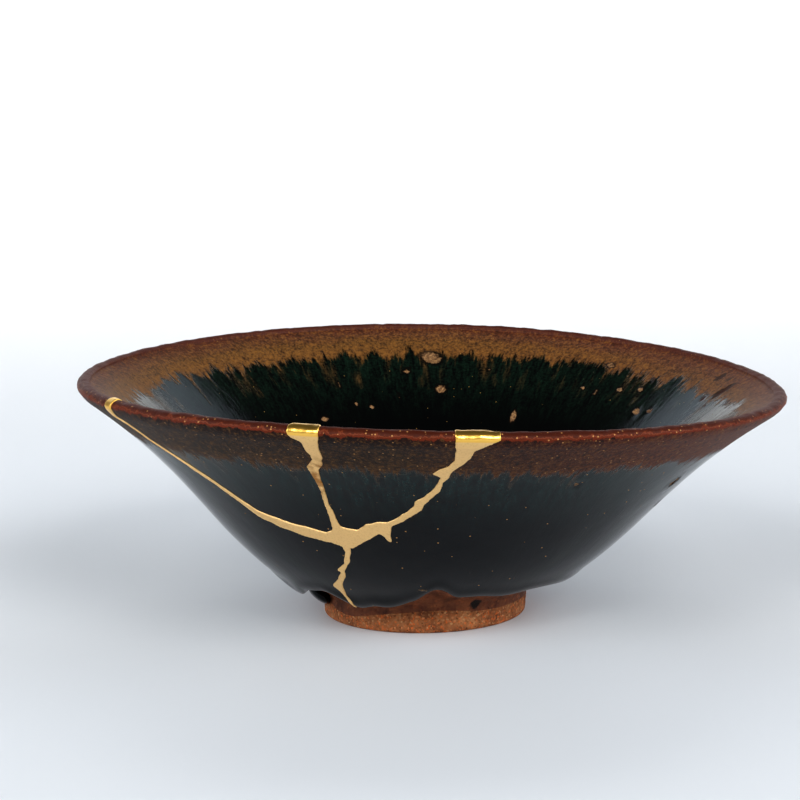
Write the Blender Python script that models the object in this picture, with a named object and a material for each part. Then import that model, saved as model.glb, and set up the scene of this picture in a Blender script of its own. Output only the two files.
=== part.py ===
# Conical stoneware tea bowl with a dark iron glaze, broken at one side of the rim and mended
# with lacquer and gold. The bowl, its two broken-out sherds and the gold seam that joins them
# are separate solids. Metres, +Z up, origin on the table under the middle of the mouth.
# Azimuth 0 is +X, and -90 faces the front, where the mend is.

import math

import bmesh
import bpy
from mathutils import Matrix, Vector

MM = 0.001

# Driving sizes of the bowl
MOUTH_RADIUS = 62.85 * MM
RIM_HEIGHT = 43.0 * MM
LIP_THICKNESS = 2.5 * MM
LIP_HEIGHT = 2.0 * MM
RIM_WALL = 2.3 * MM
BASE_WALL = 4.6 * MM
FOOT_RADIUS = 18.2 * MM
FOOT_HEIGHT = 3.3 * MM
FOOT_BEVEL = 0.6 * MM
FOOT_OFFSET = -1.8 * MM
RECESS_RADIUS = 12.0 * MM
RECESS_DEPTH = 1.8 * MM
RECESS_SLOPE = 0.8 * MM
WELL_RADIUS = 11.5 * MM
WELL_DEPTH = 0.8 * MM
FLOOR_THICKNESS = 6.1 * MM
# The bare slope over the foot starts this far above the foot's cut wall and ends this far below the glaze
SLOPE_LIFT = 0.3 * MM
SLOPE_CLEARANCE = 0.5 * MM
# The wall ends this far below the lip, and the well's edge reaches this far out and in
LIP_ALLOWANCE = 0.4 * MM
WELL_EDGE_OUT = 0.5 * MM
WELL_EDGE_IN = 0.8 * MM

# Glaze: thin at the rim, and a thick rolled edge where it stopped running above the foot
GLAZE_AT_RIM = 0.3 * MM
GLAZE_AT_EDGE = 0.9 * MM
GLAZE_EDGE_HEIGHT = 9.1 * MM
# Extra thickness of the roll for each millimetre that it ran further down
GLAZE_POOLING = 0.16
# The roll's section: height above the edge, and thickness as a share of the full and the pooled glaze
GLAZE_ROLL = (
    (0.0 * MM, 0.0, 0.0),
    (0.05 * MM, 0.6, 0.6),
    (0.3 * MM, 1.05, 0.9),
    (0.9 * MM, 1.2, 1.0),
    (1.9 * MM, 1.05, 0.4),
)
# Height over which the roll thins to the glaze of the wall
ROLL_FADE = 3.0 * MM
# Lobes where it ran further down, and scallops where it stopped higher: azimuth, half width, change
GLAZE_LOBES = (
    (-155, 21, -2.7 * MM),
    (-136, 8, -0.4 * MM),
    (-119, 11, -2.1 * MM),
    (-106, 18, -2.1 * MM),
    (-86.5, 8, 2.0 * MM),
    (-61, 12, -0.5 * MM),
    (-18, 28, -1.0 * MM),
    (36, 16, -1.6 * MM),
    (74, 15, 0.8 * MM),
    (112, 18, -2.2 * MM),
    (144, 12, 0.5 * MM),
    (178, 16, -2.4 * MM),
)
# A bead of glaze that ran down onto the foot: azimuth, distance out, height, and its half sizes
BEAD_AZIMUTH = -166
BEAD_RADIUS = 19.2 * MM
BEAD_HEIGHT = 3.6 * MM
BEAD_SIZE = (3.3 * MM, 3.2 * MM, 1.2 * MM)
BEAD_TILT = 42
# The knife left the foot's wall taller at some places and lower at others
FOOT_CUTS = ((-84, 32, 0.8 * MM), (-138, 30, -1.3 * MM), (60, 50, 0.5 * MM))

# Kiln warp of the rim: it leans, and its sides sag below its front and back. The wall also
# leans over from the foot, which stands a little to the left of the mouth.
LEAN_ALONG_X = -2.1 * MM
LEAN_ALONG_Y = 0.4 * MM
SAG = -0.8 * MM
SAG_TWIST = 0.15 * MM
OVAL_TWIST = -0.22 * MM
WARP_POWER = 1.5
LEAN_POWER = 1.22

# The mend: stations of azimuth in degrees, share of the rim height, and width of the gold
LEFT_SEAM = (
    (-148.8, 1.08, 4.6 * MM),
    (-148.8, 0.985, 3.6 * MM),
    (-148.6, 0.935, 0.9 * MM),
    (-146.9, 0.842, 0.8 * MM),
    (-144.0, 0.782, 1.0 * MM),
    (-138.2, 0.680, 1.5 * MM),
    (-131.1, 0.563, 2.2 * MM),
    (-125.3, 0.530, 2.9 * MM),
    (-119.6, 0.507, 3.3 * MM),
    (-112.8, 0.497, 3.6 * MM),
    (-105.4, 0.508, 3.2 * MM),
)
MIDDLE_SEAM = (
    (-108.4, 1.08, 5.4 * MM),
    (-108.4, 0.975, 4.8 * MM),
    (-108.0, 0.943, 3.0 * MM),
    (-108.3, 0.870, 2.0 * MM),
    (-109.6, 0.825, 2.7 * MM),
    (-110.0, 0.790, 1.9 * MM),
    (-110.4, 0.734, 1.1 * MM),
    (-110.8, 0.652, 0.9 * MM),
    (-110.8, 0.560, 1.7 * MM),
    (-110.2, 0.485, 2.6 * MM),
)
RIGHT_SEAM = (
    (-83.0, 1.08, 8.2 * MM),
    (-83.8, 0.972, 6.6 * MM),
    (-85.0, 0.925, 3.4 * MM),
    (-85.4, 0.870, 2.6 * MM),
    (-87.6, 0.825, 3.1 * MM),
    (-88.0, 0.790, 1.6 * MM),
    (-88.6, 0.745, 1.3 * MM),
    (-90.5, 0.701, 1.5 * MM),
    (-92.4, 0.652, 1.8 * MM),
    (-95.3, 0.605, 1.5 * MM),
    (-98.3, 0.573, 1.7 * MM),
    (-102.0, 0.547, 3.0 * MM),
    (-106.0, 0.515, 3.6 * MM),
    (-110.5, 0.497, 3.6 * MM),
)
FOOT_SEAM = (
    (-108.6, 0.520, 3.2 * MM),
    (-109.6, 0.478, 2.7 * MM),
    (-110.3, 0.437, 1.5 * MM),
    (-112.2, 0.365, 1.8 * MM),
    (-114.9, 0.331, 1.4 * MM),
    (-116.8, 0.287, 2.0 * MM),
    (-120.4, 0.247, 2.3 * MM),
    (-121.1, 0.203, 1.2 * MM),
    (-121.7, 0.152, 0.4 * MM),
)
SPUR = (
    (-100.0, 0.560, 2.6 * MM),
    (-99.3, 0.515, 1.2 * MM),
    (-98.8, 0.492, 0.3 * MM),
)
SEAMS = (LEFT_SEAM, MIDDLE_SEAM, RIGHT_SEAM, FOOT_SEAM, SPUR)
GOLD_PROUD = 0.12 * MM
SEAM_GAP = 0.3 * MM
# Share of the rim height above which the gold caps the rim
CAP_FROM = 0.96
# How far a seam's cutter stands out of the wall on both sides
CUT_MARGIN = 2.5 * MM

SEGMENTS = 108
WALL_RINGS = 7
CURVE_STEPS = 160


def bumps(azimuth, table):
    """Sum of rounded bumps of azimuth, half width and height, all in degrees and metres."""
    total = 0.0
    for centre, half_width, height in table:
        away = abs((azimuth - centre + 180) % 360 - 180)
        if away < half_width:
            total += height * 0.5 * (1 + math.cos(math.pi * away / half_width))
    return total


# The turned wall

def clay_curve():
    """The clay's outer face from the foot to under the lip, as (radius, height) points."""
    reach = MOUTH_RADIUS - FOOT_RADIUS
    rise = RIM_HEIGHT - FOOT_HEIGHT
    start = Vector((FOOT_RADIUS, FOOT_HEIGHT))
    belly = Vector((FOOT_RADIUS + 0.475 * reach, FOOT_HEIGHT + 0.299 * rise))
    waist = Vector((FOOT_RADIUS + 0.471 * reach, FOOT_HEIGHT + 0.551 * rise))
    end = Vector((MOUTH_RADIUS - 0.25 * LIP_THICKNESS, RIM_HEIGHT - 0.9 * LIP_HEIGHT))
    points = []
    for step in range(CURVE_STEPS + 1):
        t = step / CURVE_STEPS
        s = 1 - t
        points.append(s**3 * start + 3 * s * s * t * belly + 3 * s * t * t * waist + t**3 * end)
    return points


CLAY = clay_curve()


def clay_at(height):
    """Point and outward normal on the clay's outer face at a height, and its share up the wall."""
    step = 1
    while step < CURVE_STEPS and CLAY[step].y < height:
        step += 1
    low, high = CLAY[step - 1], CLAY[step]
    along = (height - low.y) / (high.y - low.y)
    point = low.lerp(high, along)
    slope = (high - low).normalized()
    normal = Vector((slope.y, -slope.x))
    return point, normal, (step - 1 + along) / CURVE_STEPS


def glaze_thickness(share):
    return GLAZE_AT_EDGE + (GLAZE_AT_RIM - GLAZE_AT_EDGE) * share


def wall_thickness(share):
    """Clay thickness, growing from the rim to the base."""
    return BASE_WALL + (RIM_WALL - BASE_WALL) * share**0.7


def glaze_edge(azimuth):
    return GLAZE_EDGE_HEIGHT + bumps(azimuth, GLAZE_LOBES)


def foot_side(azimuth):
    """Bare clay from the middle of the underside to the glaze's edge."""
    top = FOOT_HEIGHT + bumps(azimuth, FOOT_CUTS)
    edge = glaze_edge(azimuth)
    points = [
        Vector((RECESS_RADIUS - RECESS_SLOPE, RECESS_DEPTH)),
        Vector((RECESS_RADIUS, 0)),
        Vector((FOOT_RADIUS - FOOT_BEVEL, 0)),
        Vector((FOOT_RADIUS, FOOT_BEVEL)),
        Vector((FOOT_RADIUS, top)),
    ]
    start = min(max(top, FOOT_HEIGHT) + SLOPE_LIFT, edge - SLOPE_CLEARANCE)
    for share in (0.2, 0.7):
        points.append(clay_at(start + (edge - start) * share)[0])
    return points


def glazed_side(azimuth):
    """The glaze's rolled lower edge and the wall above it, up to the lip."""
    edge = glaze_edge(azimuth)
    pooled = GLAZE_POOLING * max(0.0, GLAZE_EDGE_HEIGHT - edge)
    points = []
    for above, share, pool_share in GLAZE_ROLL:
        point, normal, up_wall = clay_at(edge + above)
        points.append(point + normal * (glaze_thickness(up_wall) * share + pooled * pool_share))
    low = edge + ROLL_FADE
    high = CLAY[-1].y - LIP_ALLOWANCE
    for ring in range(WALL_RINGS):
        point, normal, up_wall = clay_at(low + (high - low) * ring / (WALL_RINGS - 1))
        points.append(point + normal * glaze_thickness(up_wall))
    return points


def lip():
    """Rounded lip, from its outer side over the top to its inner side."""
    centre = Vector((MOUTH_RADIUS - LIP_THICKNESS / 2, RIM_HEIGHT - LIP_HEIGHT / 2))
    points = []
    for angle in (-20, 20, 60, 100, 140, 175):
        turn = math.radians(angle)
        across = LIP_THICKNESS / 2 * math.cos(turn)
        points.append(centre + Vector((across, LIP_HEIGHT / 2 * math.sin(turn))))
    return points


def inner_side():
    """Inner wall from under the lip down to the well in the floor."""
    points = []
    for share in (0.94, 0.80, 0.65, 0.50, 0.35, 0.21, 0.09):
        height = FOOT_HEIGHT + (CLAY[-1].y - FOOT_HEIGHT) * share
        point, normal, up_wall = clay_at(height)
        points.append(point - normal * wall_thickness(up_wall))
    floor = RECESS_DEPTH + FLOOR_THICKNESS
    points += [
        Vector((WELL_RADIUS + WELL_EDGE_OUT, floor)),
        Vector((WELL_RADIUS - WELL_EDGE_IN, floor - WELL_DEPTH)),
        Vector((0.5 * WELL_RADIUS, floor - WELL_DEPTH)),
    ]
    return points


def place(azimuth, point):
    """A profile point turned to its azimuth, with the kiln warp and the foot's offset."""
    turn = math.radians(azimuth)
    up = max(0.0, point.y / RIM_HEIGHT)
    lean = LEAN_ALONG_X * math.cos(turn) + LEAN_ALONG_Y * math.sin(turn)
    sag = SAG * math.cos(2 * turn) + SAG_TWIST * math.sin(2 * turn)
    oval = OVAL_TWIST * math.sin(2 * turn)
    radius = point.x + oval * up * min(1.0, point.x / FOOT_RADIUS)
    offset = FOOT_OFFSET * max(0.0, 1 - up) ** LEAN_POWER
    return Vector((
        radius * math.cos(turn) + offset,
        radius * math.sin(turn),
        point.y + (lean + sag) * up**WARP_POWER * min(1.0, point.x / FOOT_RADIUS),
    ))


def swell(points, distance):
    """The profile moved outward along its normals."""
    moved = []
    for index, point in enumerate(points):
        before = points[max(0, index - 1)]
        after = points[min(len(points) - 1, index + 1)]
        slope = (after - before).normalized()
        moved.append(point + Vector((slope.y, -slope.x)) * distance)
    return moved


# Solids

def add_object(name, bm):
    mesh = bpy.data.meshes.new(name)
    bmesh.ops.recalc_face_normals(bm, faces=bm.faces[:])
    bm.to_mesh(mesh)
    bm.free()
    made = bpy.data.objects.new(name, mesh)
    bpy.context.scene.collection.objects.link(made)
    return made


def turned_shell(name, proud=0.0):
    """The whole bowl as one closed solid, swollen by proud for the gold to follow."""
    bm = bmesh.new()
    columns = []
    for segment in range(SEGMENTS):
        azimuth = 360 * segment / SEGMENTS - 180
        profile = foot_side(azimuth) + glazed_side(azimuth) + lip() + inner_side()
        if proud:
            profile = swell(profile, proud)
        columns.append([bm.verts.new(place(azimuth, point)) for point in profile])
    floor_height = RECESS_DEPTH + FLOOR_THICKNESS - WELL_DEPTH
    under = bm.verts.new(place(0, Vector((0, RECESS_DEPTH - proud))))
    well = bm.verts.new(place(0, Vector((0, floor_height + proud))))
    for segment in range(SEGMENTS):
        here = columns[segment]
        there = columns[(segment + 1) % SEGMENTS]
        bm.faces.new((under, there[0], here[0]))
        bm.faces.new((well, here[-1], there[-1]))
        for ring in range(len(here) - 1):
            bm.faces.new((here[ring], there[ring], there[ring + 1], here[ring + 1]))
    bmesh.ops.triangulate(bm, faces=bm.faces[:])
    return add_object(name, bm)


def glazed_point(share):
    """Point and normal on the glazed outer wall at a share of the rim height."""
    height = share * RIM_HEIGHT
    over = max(0.0, height - CLAY[-1].y)
    point, normal, up_wall = clay_at(height - over)
    rise = Vector((-normal.y, normal.x)) / normal.x
    return point + normal * glaze_thickness(up_wall) + rise * over, normal


def seam_edges(stations, widening):
    """Both edges of a seam as (azimuth, share) pairs, square to its run along the wall."""
    flat = []
    for azimuth, share, width in stations:
        point, normal = glazed_point(share)
        per_degree = math.radians(1) * point.x
        per_share = RIM_HEIGHT / normal.x
        flat.append((azimuth, share, width / 2 + widening, per_degree, per_share))
    left, right = [], []
    for index, (azimuth, share, half, per_degree, per_share) in enumerate(flat):
        before = flat[max(0, index - 1)]
        after = flat[min(len(flat) - 1, index + 1)]
        run = Vector(((after[0] - before[0]) * per_degree, (after[1] - before[1]) * per_share))
        run.normalize()
        # At the rim the gold fills a chip whose ends lie level, whatever the seam does below
        if share > CAP_FROM:
            run = Vector((0, -1))
        aside = Vector((run.y / per_degree, -run.x / per_share)) * half
        left.append((azimuth + aside.x, share + aside.y))
        right.append((azimuth - aside.x, share - aside.y))
    return left, right


def seam_cutter(name, stations, widening):
    """A closed strip along a seam that passes through the wall, square to its face."""
    bm = bmesh.new()
    rows = []
    for edges in zip(*seam_edges(stations, widening)):
        row = []
        for azimuth, share in edges:
            point, normal = glazed_point(share)
            through = BASE_WALL + GLAZE_AT_EDGE + CUT_MARGIN
            row.append(bm.verts.new(place(azimuth, point + normal * CUT_MARGIN)))
            row.append(bm.verts.new(place(azimuth, point - normal * through)))
        rows.append(row)
    for a, b in zip(rows, rows[1:]):
        bm.faces.new((a[0], a[2], b[2], b[0]))
        bm.faces.new((a[1], b[1], b[3], a[3]))
        bm.faces.new((a[0], b[0], b[1], a[1]))
        bm.faces.new((a[2], a[3], b[3], b[2]))
    for end in (rows[0], rows[-1]):
        bm.faces.new((end[0], end[1], end[3], end[2]))
    bmesh.ops.triangulate(bm, faces=bm.faces[:])
    return add_object(name, bm)


def glaze_bead():
    """The bead of glaze on the foot, tilted along the slope it ran down."""
    bm = bmesh.new()
    bmesh.ops.create_icosphere(bm, subdivisions=2, radius=1)
    centre = place(BEAD_AZIMUTH, Vector((BEAD_RADIUS, BEAD_HEIGHT)))
    turn = Matrix.Rotation(math.radians(BEAD_AZIMUTH), 4, "Z")
    tilt = Matrix.Rotation(math.radians(-BEAD_TILT), 4, "Y")
    scale = Matrix.Diagonal((*BEAD_SIZE, 1))
    bmesh.ops.transform(bm, matrix=Matrix.Translation(centre) @ turn @ tilt @ scale, verts=bm.verts)
    return add_object("glaze_bead", bm)


def combine(target, other, operation):
    """Applies one Boolean to target and removes the other object."""
    modifier = target.modifiers.new(operation, "BOOLEAN")
    modifier.operation = operation
    modifier.object = other
    modifier.solver = "EXACT"
    modifier.use_self = True
    evaluated = target.evaluated_get(bpy.context.evaluated_depsgraph_get())
    mesh = bpy.data.meshes.new_from_object(evaluated)
    target.modifiers.clear()
    target.data = mesh
    bpy.data.objects.remove(other)


def network(name, widening):
    """All the seams joined into one solid."""
    whole = seam_cutter(name, SEAMS[0], widening)
    for stations in SEAMS[1:]:
        combine(whole, seam_cutter("branch", stations, widening), "UNION")
    return whole


def loose_parts(source):
    """The separate closed bodies of an object, each as a list of its faces."""
    bm = bmesh.new()
    bm.from_mesh(source.data)
    bm.faces.ensure_lookup_table()
    waiting = set(bm.faces)
    bodies = []
    while waiting:
        body = {waiting.pop()}
        edge_of_body = list(body)
        while edge_of_body:
            face = edge_of_body.pop()
            for edge in face.edges:
                for neighbour in edge.link_faces:
                    if neighbour in waiting:
                        waiting.remove(neighbour)
                        body.add(neighbour)
                        edge_of_body.append(neighbour)
        bodies.append([[vert.co.copy() for vert in face.verts] for face in body])
    bm.free()
    return bodies


def body_object(name, faces):
    """One closed body as an object of its own."""
    bm = bmesh.new()
    found = {}
    for corners in faces:
        verts = []
        for corner in corners:
            key = corner.to_tuple(9)
            if key not in found:
                found[key] = bm.verts.new(corner)
            verts.append(found[key])
        bm.faces.new(verts)
    return add_object(name, bm)


def middle_azimuth(faces):
    corners = [corner for face in faces for corner in face]
    total = sum(corners, Vector((0, 0, 0)))
    return math.degrees(math.atan2(total.y, total.x))


def finish(made, colour, roughness, metallic):
    """Material and smooth shading with the cut edges kept sharp."""
    material = bpy.data.materials.new(made.name)
    material.use_nodes = True
    shader = material.node_tree.nodes["Principled BSDF"]
    shader.inputs["Base Color"].default_value = (*colour, 1)
    shader.inputs["Roughness"].default_value = roughness
    shader.inputs["Metallic"].default_value = metallic
    made.data.materials.clear()
    made.data.materials.append(material)
    made.data.shade_smooth()
    made.data.set_sharp_from_angle(angle=math.radians(40))


def build():
    for old in list(bpy.data.objects):
        bpy.data.objects.remove(old)

    gold = turned_shell("gold_seam", GOLD_PROUD)
    combine(gold, network("seam_strips", 0.0), "INTERSECT")
    finish(gold, (0.75, 0.55, 0.24), 0.35, 0.9)

    bowl = turned_shell("bowl_body")
    combine(bowl, glaze_bead(), "UNION")
    combine(bowl, network("seam_slots", SEAM_GAP), "DIFFERENCE")
    bodies = sorted(loose_parts(bowl), key=len, reverse=True)
    bpy.data.objects.remove(bowl)
    pieces = {"bowl_body": bodies[0]}
    for faces in bodies[1:3]:
        on_left = middle_azimuth(faces) < MIDDLE_SEAM[0][0]
        pieces["left_sherd" if on_left else "middle_sherd"] = faces
    for name, faces in pieces.items():
        finish(body_object(name, faces), (0.03, 0.035, 0.04), 0.15, 0.0)


build()
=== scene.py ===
import math

import bpy
import bmesh
import numpy as np
from mathutils import Matrix, Vector, noise


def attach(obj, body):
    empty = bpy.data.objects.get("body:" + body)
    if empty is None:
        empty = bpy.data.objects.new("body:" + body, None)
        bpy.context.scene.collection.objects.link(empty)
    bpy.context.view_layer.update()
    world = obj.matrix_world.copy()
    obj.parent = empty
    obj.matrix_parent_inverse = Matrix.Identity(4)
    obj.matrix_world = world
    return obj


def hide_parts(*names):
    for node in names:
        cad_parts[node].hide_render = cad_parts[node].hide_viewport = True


# Kintsugi tea bowl: the finish of the glaze, the bare clay and the gold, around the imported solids.
# Sizes are in millimetres and turned to metres by mm. Azimuth 0 is +X, and -90 faces the front.
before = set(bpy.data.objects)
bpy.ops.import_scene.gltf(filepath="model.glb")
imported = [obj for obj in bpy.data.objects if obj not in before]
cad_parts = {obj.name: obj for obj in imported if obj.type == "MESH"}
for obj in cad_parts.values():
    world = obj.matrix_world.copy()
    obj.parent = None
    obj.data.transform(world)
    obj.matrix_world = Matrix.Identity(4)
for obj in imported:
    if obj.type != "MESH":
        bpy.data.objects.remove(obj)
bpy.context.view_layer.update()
mm = 0.001


# everyday helpers

def selectNone():
    if bpy.context.mode != "OBJECT":
        bpy.ops.object.mode_set(mode="OBJECT")
    bpy.ops.object.select_all(action="DESELECT")


def makeActive(piece):
    selectNone()
    piece.select_set(True)
    bpy.context.view_layer.objects.active = piece


def useModifier(piece, kind, settings):
    makeActive(piece)
    modifier = piece.modifiers.new(kind.lower(), kind)
    for key, value in settings.items():
        setattr(modifier, key, value)
    bpy.ops.object.modifier_apply(modifier=modifier.name)


def copyPiece(piece, name):
    made = piece.copy()
    made.data = piece.data.copy()
    made.name = made.data.name = name
    bpy.context.scene.collection.objects.link(made)
    return made


def meshPoints(piece):
    points = np.zeros(len(piece.data.vertices) * 3)
    piece.data.vertices.foreach_get("co", points)
    return points.reshape(-1, 3)


def movePoints(piece, points):
    piece.data.vertices.foreach_set("co", points.ravel())
    piece.data.update()


def bumps(azimuth, table):
    # rounded bumps of azimuth, half width and height, added up
    total = np.zeros_like(azimuth)
    for centre, halfWidth, height in table:
        away = np.abs((azimuth - centre + 180) % 360 - 180)
        total += np.where(away < halfWidth, height * 0.5 * (1 + np.cos(np.pi * away / halfWidth)), 0)
    return total


def easeStep(value):
    value = np.clip(value, 0, 1)
    return value * value * (3 - 2 * value)


# the thrown bowl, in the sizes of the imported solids

bowl = {
    "mouthRadius": 62.85,
    "rimHeight": 43.0,
    "lipThickness": 2.5,
    "lipHeight": 2.0,
    "rimWall": 2.3,
    "baseWall": 4.6,
    "footRadius": 18.2,
    "footHeight": 3.3,
    "footBevel": 0.6,
    "footOffset": -1.8,
    "recessRadius": 12.0,
    "recessDepth": 1.8,
    "recessSlope": 0.8,
    "wellRadius": 11.5,
    "wellDepth": 0.8,
    "floorThickness": 6.1,
    # clearances of the bare slope above the foot and below the glaze, of the wall below the lip, and of
    # the well's rounded edge
    "slopeLift": 0.3,
    "slopeClearance": 0.5,
    "lipAllowance": 0.4,
    "wellEdgeOut": 0.5,
    "wellEdgeIn": 0.8,
    "footCuts": ((-84, 32, 0.8), (-138, 30, -1.3), (60, 50, 0.5)),
    # kiln warp: the rim leans, its sides sag, and the wall leans over from the foot
    "lean": (-2.1, 0.4),
    "sag": -0.8,
    "sagTwist": 0.15,
    "ovalTwist": -0.22,
    "warpPower": 1.5,
    "leanPower": 1.22,
    "segments": 480,
    "wallRings": 46,
}

glazeRun = {
    "atRim": 0.3,
    "atEdge": 0.9,
    "edgeHeight": 9.1,
    "pooling": 0.16,
    # how high the rounded nose of the roll is, and the height over which the roll thins to the wall
    "nose": 0.35,
    "swelling": 0.15,
    "swellingHeight": 2.0,
    "poolTop": 0.6,
    "fade": 3.0,
    # the height above it over which the wall's rings come level again
    "slide": 9.0,
    "lobes": (
        (-155, 21, -2.7), (-136, 8, -0.4), (-119, 11, -2.1), (-106, 18, -2.1), (-86.5, 8, 2.0),
        (-61, 12, -0.5), (-18, 28, -1.0), (36, 16, -1.6), (74, 15, 0.8), (112, 18, -2.2),
        (144, 12, 0.5), (178, 16, -2.4),
    ),
    "bead": {"azimuth": -168, "radius": 19.5, "height": 4.3, "size": (2.8, 4.0, 1.3), "tilt": 42},
}


def clayCurve():
    reach = bowl["mouthRadius"] - bowl["footRadius"]
    rise = bowl["rimHeight"] - bowl["footHeight"]
    foot = np.array((bowl["footRadius"], bowl["footHeight"]))
    belly = foot + (0.475 * reach, 0.299 * rise)
    waist = foot + (0.471 * reach, 0.551 * rise)
    top = np.array((bowl["mouthRadius"] - 0.25 * bowl["lipThickness"],
                    bowl["rimHeight"] - 0.9 * bowl["lipHeight"]))
    t = np.linspace(0, 1, 400)[:, None]
    s = 1 - t
    return s**3 * foot + 3 * s * s * t * belly + 3 * s * t * t * waist + t**3 * top


clay = clayCurve()
clayTop = clay[-1][1]
claySlope = np.gradient(clay, axis=0)
claySlope /= np.linalg.norm(claySlope, axis=1)[:, None]
wallLow = glazeRun["edgeHeight"] + glazeRun["fade"]
wallHeights = np.linspace(wallLow, clayTop - bowl["lipAllowance"], bowl["wallRings"])


def clayAt(height):
    # radius, outward normal and share up the wall of the clay's outer face
    share = np.interp(height, clay[:, 1], np.linspace(0, 1, len(clay)))
    radius = np.interp(height, clay[:, 1], clay[:, 0])
    along = np.interp(height, clay[:, 1], claySlope[:, 0])
    up = np.interp(height, clay[:, 1], claySlope[:, 1])
    return radius, (up, -along), share


def glazeThickness(share):
    return glazeRun["atEdge"] + (glazeRun["atRim"] - glazeRun["atEdge"]) * share


def glazeAt(height):
    # radius and height of the glaze's face over the clay at a height
    radius, normal, share = clayAt(height)
    thick = glazeThickness(share)
    return radius + normal[0] * thick, height + normal[1] * thick


def wallThickness(share):
    return bowl["baseWall"] + (bowl["rimWall"] - bowl["baseWall"]) * share**0.7


def smoothLine(points, counts):
    # a curve through the points, with a count of steps for each stretch between two of them
    points = np.array(points, float)
    made = []
    for index, count in enumerate(counts):
        before = points[max(0, index - 1)]
        a, b = points[index], points[index + 1]
        after = points[min(len(points) - 1, index + 2)]
        for step in range(count):
            t = step / count
            made.append(0.5 * (2 * a + (b - before) * t + (2 * before - 5 * a + 4 * b - after) * t**2
                               + (3 * a - before - 3 * b + after) * t**3))
    return made


def upperProfile():
    # from the wall above the glaze's roll, over the lip and down the inside to the middle of the well
    outside = [glazeAt(height) for height in wallHeights]
    centre = (bowl["mouthRadius"] - bowl["lipThickness"] / 2, bowl["rimHeight"] - bowl["lipHeight"] / 2)
    knots = [outside[-2], outside[-1]]
    for angle in (-20, 20, 60, 100, 140, 175):
        turn = math.radians(angle)
        knots.append((centre[0] + bowl["lipThickness"] / 2 * math.cos(turn),
                      centre[1] + bowl["lipHeight"] / 2 * math.sin(turn)))
    inside = []
    for share in np.linspace(0.94, 0.09, bowl["wallRings"]):
        height = bowl["footHeight"] + (clayTop - bowl["footHeight"]) * share
        radius, normal, upWall = clayAt(height)
        thick = wallThickness(upWall)
        inside.append((radius - normal[0] * thick, height - normal[1] * thick))
    floor = bowl["recessDepth"] + bowl["floorThickness"]
    wellFloor = floor - bowl["wellDepth"]
    knots += inside[:2]
    lip = smoothLine(knots, [1, 3, 4, 4, 4, 4, 4, 3, 1])[1:-1]
    well = [inside[-2], inside[-1], (bowl["wellRadius"] + bowl["wellEdgeOut"], floor),
            (bowl["wellRadius"] - bowl["wellEdgeIn"], wellFloor), (0.5 * bowl["wellRadius"], wellFloor),
            (0, wellFloor)]
    well = smoothLine(well, [1, 6, 5, 5, 5])[1:]
    return outside[:-1], lip, inside[:-1] + well + [(0, wellFloor)]


outsideLine, lipLine, insideLine = upperProfile()

# how many rings each stretch below the glaze has
foot = {"recess": 9, "step": 3, "ring": 8, "bevel": 4, "side": 13, "slope": 14}
rollHeights = (0, 0.01, 0.03, 0.06, 0.1, 0.15, 0.22, 0.3, 0.4, 0.55, 0.75, 1.0, 1.3, 1.7, 2.2)
footRings = sum(foot.values())
rollRings = len(rollHeights)


def lowerProfile(azimuth):
    # underside, foot, bare slope and the glaze's roll, as radius and height for each ring
    top = bowl["footHeight"] + bumps(azimuth, bowl["footCuts"])
    edge = glazeRun["edgeHeight"] + bumps(azimuth, glazeRun["lobes"])
    still = np.ones_like(azimuth)
    rings = []
    recessEdge = bowl["recessRadius"] - bowl["recessSlope"]
    for share in np.linspace(0, 1, foot["recess"]):
        rings.append((recessEdge * share * still, bowl["recessDepth"] * still))
    for share in np.linspace(0.3, 1, foot["step"]):
        rings.append((still * (recessEdge + bowl["recessSlope"] * share),
                      still * bowl["recessDepth"] * (1 - share)))
    outer = bowl["footRadius"] - bowl["footBevel"]
    for share in np.linspace(0.12, 1, foot["ring"]):
        rings.append((still * (bowl["recessRadius"] + (outer - bowl["recessRadius"]) * share), 0 * still))
    for turn in np.linspace(0.2, 1, foot["bevel"]) * math.pi / 2:
        rings.append((still * (outer + bowl["footBevel"] * math.sin(turn)),
                      still * bowl["footBevel"] * (1 - math.cos(turn))))
    for share in np.linspace(0.1, 1, foot["side"]):
        rings.append((still * bowl["footRadius"], bowl["footBevel"] + (top - bowl["footBevel"]) * share))
    start = np.minimum(np.maximum(top, bowl["footHeight"]) + bowl["slopeLift"],
                       edge - bowl["slopeClearance"])
    for share in np.linspace(0.1, 0.97, foot["slope"]):
        height = start + (edge - start) * share
        flare = clayAt(height)[0] - bowl["footRadius"]
        rings.append((bowl["footRadius"] + flare * share**1.6, height))
    pooled = glazeRun["pooling"] * np.maximum(0, glazeRun["edgeHeight"] - edge)
    for above in rollHeights:
        radius, normal, share = clayAt(edge + above)
        nose = math.sqrt(1 - (1 - min(1, above / glazeRun["nose"]))**2)
        swelling = glazeRun["swelling"] * math.sin(math.pi * min(1, above / glazeRun["swellingHeight"]))
        thick = glazeThickness(share) * nose * (1 + swelling)
        thinning = (above - glazeRun["poolTop"]) / (glazeRun["fade"] - glazeRun["poolTop"])
        thick = thick + pooled * nose * (1 - easeStep(thinning))
        rings.append((radius + normal[0] * thick, edge + above + normal[1] * thick))
    return rings


def wallRings(azimuth):
    # every ring at every azimuth; the wall's lowest rings slide with the roll
    rings = lowerProfile(azimuth)
    shift = bumps(azimuth, glazeRun["lobes"])
    for height in wallHeights[:-1]:
        rings.append(glazeAt(height + shift * (1 - easeStep((height - wallLow) / glazeRun["slide"]))))
    still = np.ones_like(azimuth)
    for radius, height in lipLine + insideLine:
        rings.append((radius * still, height * still))
    return rings


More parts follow.
